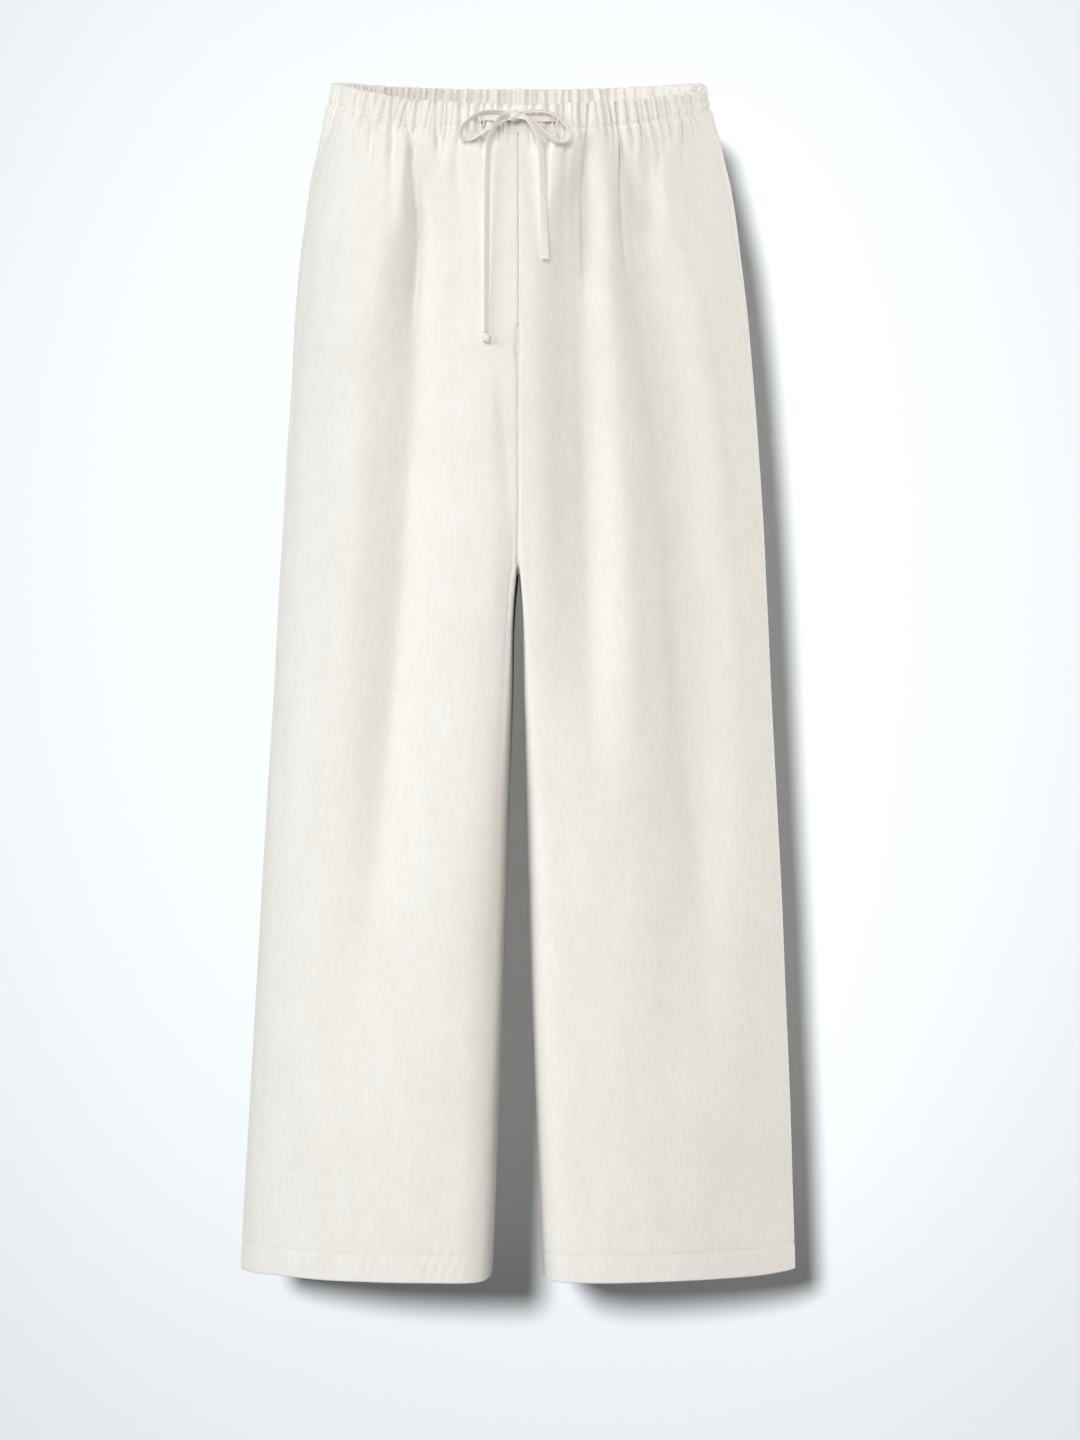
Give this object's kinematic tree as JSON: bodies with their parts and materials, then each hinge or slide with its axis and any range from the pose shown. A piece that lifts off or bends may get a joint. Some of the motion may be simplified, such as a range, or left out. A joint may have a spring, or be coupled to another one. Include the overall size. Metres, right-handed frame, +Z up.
{
  "type": "drawstring trousers",
  "caption": "Wide-leg linen trousers with a gathered elastic waist and a flat drawstring tied in a bow, filled out as if worn.",
  "frame": {"origin": "centre of the waist opening at the height of the side waist edge, where a wearer or a hanger holds the garment up", "axes": "+Z up the garment, -Y out of its front, +X towards the wearer's left leg"},
  "size_m": [0.484, 0.2679, 1.045],
  "materials": {
    "linen": "matt washed linen, natural cream",
    "casing_linen": "matt washed linen, gathered over elastic",
    "tie_linen": "flat folded linen tie, stitched along its edge"
  },
  "bodies": {
    "root": {"front_right": "linen", "front_left": "linen", "back_right": "linen", "back_left": "linen", "waistband_front": "casing_linen", "waistband_back": "casing_linen", "drawstring_lead_right": "tie_linen", "drawstring_lead_left": "tie_linen", "drawstring_loop_right": "tie_linen", "drawstring_loop_left": "tie_linen", "drawstring_tail_right": "tie_linen", "drawstring_tail_left": "tie_linen", "drawstring_knot": "tie_linen", "drawstring_end_knot": "tie_linen"}
  },
  "joints": []
}
